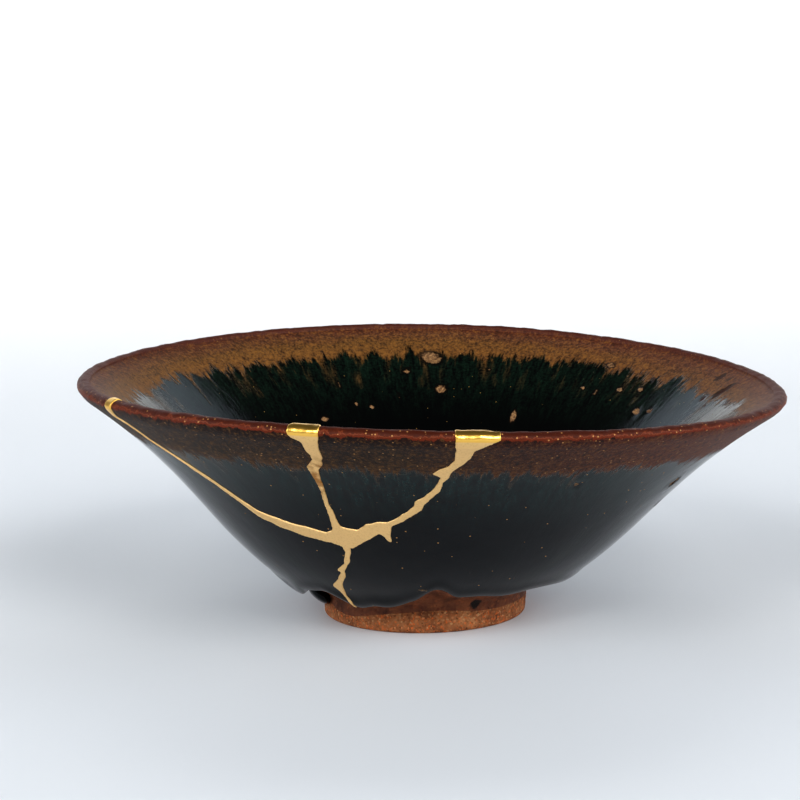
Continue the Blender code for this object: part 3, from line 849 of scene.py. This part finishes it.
def crystalsOver(tree, look, point, inBand, lip, colour):
    # golden specks in the lip and band, and rare pale ones in the black
    cells = addNode(tree, "ShaderNodeTexVoronoi", {"Scale": 1 / 0.75}, {"Vector": point})
    chosen = addNode(tree, "ShaderNodeSeparateColor", {}, {0: cells.outputs["Color"]}).outputs[0]
    some = addNode(tree, "ShaderNodeMath", {"operation": "MULTIPLY", 1: 0.3}, {0: inBand})
    some = addNode(tree, "ShaderNodeMath", {"operation": "MAXIMUM"}, {0: some, 1: lip})
    rare = addNode(tree, "ShaderNodeMapRange", {"To Min": 0.96, "To Max": look["speckFrom"]},
                   {"Value": some})
    chosen = addNode(tree, "ShaderNodeMath", {"operation": "GREATER_THAN"}, {0: chosen, 1: rare})
    speck = addNode(tree, "ShaderNodeMapRange",
                    {"From Min": look["speckSize"], "From Max": look["speckSize"] - 0.09},
                    {"Value": cells.outputs["Distance"]})
    speck = addNode(tree, "ShaderNodeMath", {"operation": "MULTIPLY"}, {0: speck, 1: chosen})
    speck = addNode(tree, "ShaderNodeMath", {"operation": "MULTIPLY", 1: look["speckShare"]}, {0: speck})
    return addNode(tree, "ShaderNodeMix", {"data_type": "RGBA", 7: hexColour(look["speck"])},
                   {0: speck, 6: colour.outputs[2]})


# the near-black third colour is painted shade, the shadow round and below each mark's hollow
markLook = {"stops": ((0.35, "#4a3322"), (0.5, "#7d5d3e"), (0.65, "#a8835a")), "dark": "#3a1f15",
            "pitShade": "#0c0907", "darkSpot": "#1a0f0b"}


def marksOver(tree, point, direction, grain, colour):
    # marks are tan, and dark brown on the right, with a ring of painted shade round each, standing in for the
    # shadow of its hollow; also gives 1 on the marks
    marked = markMask(tree, point)
    onRight = addNode(tree, "ShaderNodeSeparateXYZ", {}, {0: direction}).outputs["X"]
    onRight = addNode(tree, "ShaderNodeMapRange", {"From Min": 0.82, "From Max": 0.92}, {"Value": onRight})
    tan = setRamp(addNode(tree, "ShaderNodeValToRGB", {}, {"Fac": grain}), markLook["stops"])
    markColour = addNode(tree, "ShaderNodeMix", {"data_type": "RGBA", 7: hexColour(markLook["dark"])},
                         {0: onRight, 6: tan})
    # painted shade: a near-black ring round each mark for the shadow of its hollow
    pitShade = addNode(tree, "ShaderNodeMath", {"operation": "MULTIPLY", 1: 0.8},
                    {0: markMask(tree, point, 0.45)})
    colour = addNode(tree, "ShaderNodeMix", {"data_type": "RGBA", 7: hexColour(markLook["pitShade"])},
                     {0: pitShade, 6: colour.outputs[2]})
    colour = addNode(tree, "ShaderNodeMix", {"data_type": "RGBA"},
                     {0: marked, 6: colour.outputs[2], 7: markColour.outputs[2]})
    return colour, marked


def glazeRelief(tree, look, point, fine, grain, dry):
    # the faint ridges of the streaks, orange peel and the band's dry grain, in fractions of a millimetre
    orangePeel = addNode(tree, "ShaderNodeTexNoise", {"Scale": 1 / 2.2, "Detail": 2.0}, {"Vector": point})
    ridges = addNode(tree, "ShaderNodeBump", {"Strength": 1.0, "Distance": look["ridge"] * mm},
                     {"Height": fine})
    peel = addNode(tree, "ShaderNodeBump", {"Strength": 1.0, "Distance": look["peel"] * mm},
                   {"Height": orangePeel, "Normal": ridges})
    dryGrain = addNode(tree, "ShaderNodeMath", {"operation": "MULTIPLY"}, {0: grain, 1: dry})
    return addNode(tree, "ShaderNodeBump", {"Strength": 1.0, "Distance": look["grit"] * mm},
                   {"Height": dryGrain, "Normal": peel})


def glazeMaterial(name, look):
    # tenmoku iron glaze, dipped: glossy and near black where it is thick, rust brown and drier where it
    # thinned at the lip, with fine green streaks where it ran
    material, tree, shader = newMaterial(name)
    point, direction, depth = rimCoordinates(tree)
    streaks = streakPoint(tree, direction, depth, look["stretch"])
    fine = addNode(tree, "ShaderNodeTexNoise",
                   {"Scale": 1 / look["streakWidth"], "Detail": 4.0, "Roughness": 0.68, "Distortion": 0.4},
                   {"Vector": streaks})
    broad = addNode(tree, "ShaderNodeTexNoise",
                    {"Scale": 0.32 / look["streakWidth"], "Detail": 3.0, "Roughness": 0.55},
                    {"Vector": streaks})
    grain = addNode(tree, "ShaderNodeTexNoise", {"Scale": 1 / 0.5, "Detail": 5.0, "Roughness": 0.65},
                    {"Vector": point})
    below, inBand = bandEdge(tree, look, direction, depth, fine, broad)
    band = bandColour(tree, look, point, direction, depth, fine, grain)
    thick, rusty = thickColour(tree, look, below, fine, broad, grain)
    colour = addNode(tree, "ShaderNodeMix", {"data_type": "RGBA"},
                     {0: inBand, 6: thick.outputs[2], 7: band.outputs[2]})
    colour, lip = lipOver(tree, look, point, depth, colour)
    colour = crystalsOver(tree, look, point, inBand, lip, colour)
    colour, marked = marksOver(tree, point, direction, grain, colour)
    tree.links.new(colour.outputs[2], shader.inputs["Base Color"])

    # gloss: glassy where thick, satin in the band, drier at the lip and on the marks
    dry = inBand
    for part in (lip, marked, rusty):
        dry = addNode(tree, "ShaderNodeMath", {"operation": "MAXIMUM"}, {0: dry, 1: part})
    rough = addNode(tree, "ShaderNodeMapRange", {"To Min": look["gloss"], "To Max": look["satin"]},
                    {"Value": dry})
    rough = addNode(tree, "ShaderNodeMath", {"operation": "MULTIPLY_ADD", 1: 0.10}, {0: grain, 2: rough})
    tree.links.new(rough.outputs[0], shader.inputs["Roughness"])
    shader.inputs["IOR"].default_value = 1.5
    shader.inputs["Specular IOR Level"].default_value = look["mirror"]
    relief = glazeRelief(tree, look, point, fine, grain, dry)
    tree.links.new(relief.outputs[0], shader.inputs["Normal"])
    return material


outsideLook = {
    "band": 8.0, "bandLean": (-0.3, -0.2), "raggedness": 6.0, "wander": 4.0, "soft": 0.7,
    "stretch": 0.3, "streakWidth": 0.9, "lip": 1.3, "lipSoft": 0.15, "lipWander": 2.6,
    "lipStops": ((0.2, "#451c0f"), (0.48, "#522210"), (0.60, "#783b22"), (0.70, "#58230f"), (0.92, "#6c2a12"),
                 (1.0, "#3a190e")),
    "bandStops": ((0.10, "#27110b"), (0.30, "#24120b"), (0.75, "#2f1d0e"), (1.0, "#462d17")),
    "warm": "#652c1a", "warmShare": 0.7,
    "bandShade": "#110b08", "fleck": "#7c5629", "fleckShare": 0.45,
    "black": "#05070b", "fur": "#152e2d", "furReach": 13.0, "rust": "#6e4522", "rustReach": 2.5,
    "speck": "#c4935a", "speckFrom": 0.35, "speckSize": 0.22, "speckShare": 0.8,
    "mirror": 0.15, "gloss": 0.04, "satin": 0.45, "ridge": 0.02, "peel": 0.01, "grit": 0.08,
}

insideLook = {
    "band": 4.6, "bandLean": (-0.6, 0.6), "raggedness": 4.8, "wander": 6.0, "soft": 0.7,
    "stretch": 0.48, "streakWidth": 1.0, "lip": 0.5, "lipSoft": 0.6, "lipWander": 0.8,
    "lipStops": ((0.3, "#4a2015"), (1.0, "#5d2f20")),
    "bandStops": ((0.10, "#582a1c"), (0.35, "#5c3722"), (0.70, "#684722"), (1.0, "#714c23")),
    "warm": "#5e3122", "warmShare": 0.3,
    "bandShade": "#2e1c0e", "fleck": "#90622c", "fleckShare": 0.6,
    "black": "#040505", "fur": "#15281d", "furReach": 12.0, "rust": "#75502a", "rustReach": 4.5,
    "speck": "#c9a05a", "speckFrom": 0.85, "speckSize": 0.17, "speckShare": 0.5,
    "mirror": 0.24, "gloss": 0.05, "satin": 0.50, "ridge": 0.035, "peel": 0.02, "grit": 0.08,
}


def clayMaterial(name, look):
    # iron-rich stoneware, unglazed and cut with a knife: coarse, with sandy grains that fired orange
    material, tree, shader = newMaterial(name)
    point = addNode(tree, "ShaderNodeVectorMath", {"operation": "SCALE", "Scale": 1 / mm},
                    {0: addNode(tree, "ShaderNodeTexCoord").outputs["Object"]})
    body = addNode(tree, "ShaderNodeTexNoise", {"Scale": 1 / 3.0, "Detail": 5.0, "Roughness": 0.6},
                   {"Vector": point})
    colour = setRamp(addNode(tree, "ShaderNodeValToRGB", {}, {"Fac": body}), look["stops"])
    sand = addNode(tree, "ShaderNodeTexVoronoi", {"Scale": 1 / look["sand"]}, {"Vector": point})
    tone = addNode(tree, "ShaderNodeSeparateColor", {}, {0: sand.outputs["Color"]})
    sandColour = setRamp(addNode(tree, "ShaderNodeValToRGB", {}, {"Fac": tone.outputs[0]}), look["sandStops"])
    sandShare = addNode(tree, "ShaderNodeMapRange", {"From Min": look["sandFrom"], "From Max": 1.0,
                                                     "To Max": look["sandShare"]},
                        {"Value": tone.outputs[1]})
    colour = addNode(tree, "ShaderNodeMix", {"data_type": "RGBA"}, {0: sandShare, 6: colour, 7: sandColour})
    colour = addNode(tree, "ShaderNodeMix", {"data_type": "RGBA", 7: hexColour(markLook["darkSpot"])},
                     {0: markMask(tree, point), 6: colour.outputs[2]})
    tree.links.new(colour.outputs[2], shader.inputs["Base Color"])
    shader.inputs["Roughness"].default_value = look["roughness"]
    shader.inputs["Specular IOR Level"].default_value = 0.24
    grit = addNode(tree, "ShaderNodeTexNoise", {"Scale": 1 / 0.4, "Detail": 6.0, "Roughness": 0.7},
                   {"Vector": point})
    relief = addNode(tree, "ShaderNodeBump", {"Strength": 1.0, "Distance": look["grit"] * mm},
                     {"Height": grit})
    tree.links.new(relief.outputs[0], shader.inputs["Normal"])
    return material


footLook = {
    "stops": ((0.30, "#5c3623"), (0.50, "#8f5b39"), (0.70, "#b07c52")),
    "sand": 0.32, "sandStops": ((0.0, "#3c2015"), (0.35, "#a8683c"), (0.62, "#d8692c"), (1.0, "#c09a6c")),
    "sandFrom": 0.35, "sandShare": 0.9, "roughness": 0.8, "grit": 0.14,
}
# painted shade: the bare slope is the foot's clay, its colours darkened for the shade it lies in below the
# glazed wall
shadedSlopeLook = {
    "stops": ((0.30, "#43261a"), (0.50, "#6e4029"), (0.72, "#905736")),
    "sand": 0.45, "sandStops": ((0.0, "#3a1c12"), (0.5, "#7c3c20"), (1.0, "#a5623b")),
    "sandFrom": 0.7, "sandShare": 0.7, "roughness": 0.6, "grit": 0.08,
}


goldLook = {
    "cap": 1.5, "wall": "#f7d194", "lacquer": "#b98448", "burnished": "#fdcb66", "matte": 0.5, "polish": 0.29,
    # where the lacquer shows through: azimuth, half width in degrees, and depths below the rim
    "worn": (-109.6, 4.0, 5.0, 15.0),
}


def goldMaterial(name):
    # gold powder on lacquer: matte where it was only dusted on the wall, burnished where it rounds the rim
    material, tree, shader = newMaterial(name)
    point, direction, depth = rimCoordinates(tree)
    cap = addNode(tree, "ShaderNodeMapRange",
                  {"interpolation_type": "SMOOTHSTEP", "From Min": goldLook["cap"] + 0.1,
                   "From Max": goldLook["cap"] - 0.1}, {"Value": depth})
    powder = addNode(tree, "ShaderNodeTexNoise", {"Scale": 1 / 0.35, "Detail": 4.0}, {"Vector": point})
    cloud = addNode(tree, "ShaderNodeTexNoise", {"Scale": 1 / 2.4, "Detail": 4.0, "Roughness": 0.6},
                    {"Vector": point})
    azimuth, halfWidth, top, bottom = goldLook["worn"]
    facing = (math.cos(math.radians(azimuth)), math.sin(math.radians(azimuth)), 0)
    near = addNode(tree, "ShaderNodeVectorMath", {"operation": "DOT_PRODUCT", 1: facing},
                   {0: direction}).outputs["Value"]
    near = addNode(tree, "ShaderNodeMapRange",
                   {"From Min": math.cos(math.radians(halfWidth)),
                    "From Max": math.cos(math.radians(halfWidth / 2))}, {"Value": near})
    middle = addNode(tree, "ShaderNodeMath", {"operation": "SUBTRACT", 1: (top + bottom) / 2}, {0: depth})
    middle = addNode(tree, "ShaderNodeMath", {"operation": "ABSOLUTE"}, {0: middle})
    middle = addNode(tree, "ShaderNodeMapRange",
                     {"From Min": (bottom - top) / 2, "From Max": (bottom - top) / 4}, {"Value": middle})
    worn = addNode(tree, "ShaderNodeMath", {"operation": "MULTIPLY"}, {0: near, 1: middle})
    patches = addNode(tree, "ShaderNodeMapRange", {"From Min": 0.42, "From Max": 0.6}, {"Value": cloud})
    worn = addNode(tree, "ShaderNodeMath", {"operation": "MULTIPLY"}, {0: worn, 1: patches})
    faint = addNode(tree, "ShaderNodeMapRange", {"From Min": 0.5, "From Max": 0.7, "To Max": 0.2},
                    {"Value": powder})
    worn = addNode(tree, "ShaderNodeMath", {"operation": "MAXIMUM"}, {0: worn, 1: faint})
    wall = addNode(tree, "ShaderNodeMix",
                   {"data_type": "RGBA", 6: hexColour(goldLook["wall"]), 7: hexColour(goldLook["lacquer"])},
                   {0: worn})
    colour = addNode(tree, "ShaderNodeMix", {"data_type": "RGBA", 7: hexColour(goldLook["burnished"])},
                     {0: cap, 6: wall.outputs[2]})
    tree.links.new(colour.outputs[2], shader.inputs["Base Color"])
    shader.inputs["Metallic"].default_value = 1.0
    rough = addNode(tree, "ShaderNodeMapRange", {"To Min": goldLook["matte"], "To Max": goldLook["polish"]},
                    {"Value": cap})
    tree.links.new(rough.outputs[0], shader.inputs["Roughness"])
    relief = addNode(tree, "ShaderNodeBump", {"Strength": 1.0, "Distance": 0.02 * mm}, {"Height": powder})
    dents = addNode(tree, "ShaderNodeBump", {"Strength": 1.0, "Distance": 0.05 * mm},
                    {"Height": cloud, "Normal": relief})
    tree.links.new(dents.outputs[0], shader.inputs["Normal"])
    return material


# building the pieces

def dressBowl():
    shell, plain = throwShell()
    ring = shapeShell(shell, plain)
    print("thrown shell:", len(shell.data.polygons), "faces")
    roughen(shell, ring, plain)
    pressMarks(shell)
    # the bare slope's clay finish is darkened with painted shade
    faceMaterials(shell, ring, (
        clayMaterial("cutStonewareFoot", footLook), clayMaterial("bareStonewareSlopeShaded", shadedSlopeLook),
        glazeMaterial("tenmokuGlazeOutside", outsideLook),
        glazeMaterial("tenmokuGlazeInside", insideLook)))
    glazeBead(shell)
    print("glaze, marks and clay grain done")
    wide = crackNetwork(0.0)
    gold = layGold(shell, wide, goldMaterial("goldPowderLacquer"))
    bpy.data.objects.remove(wide)
    print("gold seam:", len(gold.data.polygons), "faces")
    narrow = crackNetwork(mend["lap"])
    for material in shell.data.materials:
        narrow.data.materials.append(material)
    body, leftSherd, middleSherd = breakShell(shell, narrow)
    bpy.data.objects.remove(narrow)
    dressed = ((body, "bowlBodyDressed", "bowl_body"), (leftSherd, "leftSherdDressed", "left_sherd"),
               (middleSherd, "middleSherdDressed", "middle_sherd"), (gold, "goldSeamDressed", "gold_seam"))
    for piece, name, node in dressed:
        piece.name = piece.data.name = name
        makeActive(piece)
        bpy.ops.object.shade_smooth_by_angle(angle=math.radians(60 if node == "gold_seam" else 45))
        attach(piece, "root")
        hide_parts(node)
        print(name, len(piece.data.polygons), "faces")


# studio: pale sweep, soft lights and the camera

studio = {
    # the floor's grey is painted shade on the white sweep
    "floor": "#dbdfe3",
    "backdrop": "#ffffff",
    "curveStart": 0.95,
    "curveRadius": 0.30,
    "wall": 0.25,
    "front": 1.8,
    "width": 3.6,
    "curveSteps": 16,
    # painted shade: the one white sweep is coloured grey on the floor, standing in for its shade, and turns
    # to the backdrop's white between these two distances behind the bowl
    "fadeFrom": 0.05,
    "fadeTo": 0.75,
    "air": "#f7f9fb",
    "airStrength": 0.08,
}


def sweep():
    bpy.ops.mesh.primitive_plane_add(size=1)
    floor = bpy.context.object
    floor.name = "paleSweep"
    floorLength = studio["curveStart"] + studio["front"]
    floor.data.transform(Matrix.Translation((0, studio["curveStart"] - floorLength / 2, 0))
                         @ Matrix.Diagonal((studio["width"], floorLength, 1, 1)))
    bpy.ops.object.mode_set(mode="EDIT")
    bpy.ops.mesh.select_all(action="DESELECT")
    shape = bmesh.from_edit_mesh(floor.data)
    back = max(vert.co.y for vert in shape.verts)
    for vert in shape.verts:
        vert.select = vert.co.y > back - 0.001
    shape.select_flush(True)
    bmesh.update_edit_mesh(floor.data)
    angle = math.pi / 2 / studio["curveSteps"]
    stepLength = studio["curveRadius"] * angle
    for step in range(studio["curveSteps"]):
        turn = (step + 0.5) * angle
        bpy.ops.mesh.extrude_region_move(TRANSFORM_OT_translate={
            "value": (0, stepLength * math.cos(turn), stepLength * math.sin(turn))})
    bpy.ops.mesh.extrude_region_move(TRANSFORM_OT_translate={"value": (0, 0, studio["wall"])})
    bpy.ops.object.mode_set(mode="OBJECT")
    bpy.ops.object.shade_smooth()
    material, tree, shader = newMaterial("palePaperSweep")
    coordinates = addNode(tree, "ShaderNodeTexCoord")
    along = addNode(tree, "ShaderNodeSeparateXYZ", {}, {0: coordinates.outputs["Object"]})
    # painted shade: grey floor in front fading to the white backdrop behind
    fade = addNode(tree, "ShaderNodeMapRange",
                   {"interpolation_type": "SMOOTHSTEP", "From Min": studio["fadeFrom"],
                    "From Max": studio["fadeTo"]}, {"Value": along.outputs["Y"]})
    colour = addNode(tree, "ShaderNodeMix",
                     {"data_type": "RGBA", 6: hexColour(studio["floor"]), 7: hexColour(studio["backdrop"])},
                     {0: fade})
    tree.links.new(colour.outputs[2], shader.inputs["Base Color"])
    shader.inputs["Roughness"].default_value = 0.6
    shader.inputs["Specular IOR Level"].default_value = 0.2
    floor.data.materials.append(material)


softLights = (
    # place, what it is aimed at, width, height, power in watts, colour, and whether the glaze mirrors it
    ((-0.55, -1.15, 0.85), (0, 0.02, 0.02), 0.6, 0.6, 8.5, "#fffefc", True),
    ((0.55, -1.15, 0.85), (0, 0.02, 0.02), 0.6, 0.6, 11, "#fffefc", True),
    ((-1.1, -0.2, 0.45), (0, 0.02, 0.02), 0.7, 0.6, 5.5, "#eef5ff", True),
    ((1.1, -0.2, 0.45), (0, 0.02, 0.02), 0.7, 0.6, 6, "#eef5ff", True),
    ((0, 0.9, 0.9), (0, 0.02, 0.02), 0.8, 0.4, 2.5, "#fffefc", False),
    ((0.66, 0.9, 0.72), (0, 0.02, 0.02), 0.75, 0.36, 0.8, "#e2efff", True),
    ((-0.56, 0.98, 0.70), (0, 0.02, 0.02), 0.85, 0.36, 1.0, "#e2efff", True),
    ((0, 0.8, 0.85), (0, 1.3, 0.2), 1.6, 0.2, 4, "#fffefc", False),
)


def lightStudio():
    world = bpy.data.worlds.new("softRoom")
    bpy.context.scene.world = world
    world.use_nodes = True
    background = world.node_tree.nodes["Background"]
    background.inputs["Color"].default_value = hexColour(studio["air"])
    background.inputs["Strength"].default_value = studio["airStrength"]
    for place, target, width, height, power, colour, mirrored in softLights:
        light = bpy.data.lights.new("softBox", "AREA")
        light.shape = "RECTANGLE"
        light.size = width
        light.size_y = height
        light.energy = power
        light.color = hexColour(colour)[:3]
        lamp = bpy.data.objects.new("softBox", light)
        bpy.context.scene.collection.objects.link(lamp)
        lamp.location = place
        lamp.visible_camera = False
        lamp.visible_glossy = mirrored
        aim = Vector(target) - Vector(place)
        lamp.rotation_euler = aim.to_track_quat("-Z", "Y").to_euler()


photoCamera = {"lens": 108, "sensor": 36, "place": (0, -424.8, 106.4), "down": 9.09, "roll": -1.0,
               "yaw": -0.76}


def placeCamera():
    down, roll, yaw = (math.radians(photoCamera[key]) for key in ("down", "roll", "yaw"))
    ahead = Vector((math.sin(yaw) * math.cos(down), math.cos(yaw) * math.cos(down), -math.sin(down)))
    level = Vector((math.cos(yaw), -math.sin(yaw), 0))
    up = level.cross(ahead)
    across = level * math.cos(roll) + up * math.sin(roll)
    up = up * math.cos(roll) - level * math.sin(roll)
    camera = bpy.data.objects.new("photoCamera", bpy.data.cameras.new("photoCamera"))
    bpy.context.scene.collection.objects.link(camera)
    camera.data.lens = photoCamera["lens"]
    camera.data.sensor_width = photoCamera["sensor"]
    camera.data.clip_start = 0.01
    turned = Matrix((across, up, -ahead)).transposed().to_4x4()
    camera.matrix_world = Matrix.Translation(Vector(photoCamera["place"]) * mm) @ turned
    bpy.context.scene.camera = camera


dressBowl()
sweep()
lightStudio()
placeCamera()
bpy.context.scene.view_settings.view_transform = "Standard"
bpy.context.scene.view_settings.look = "Medium High Contrast"
print("studio ready")
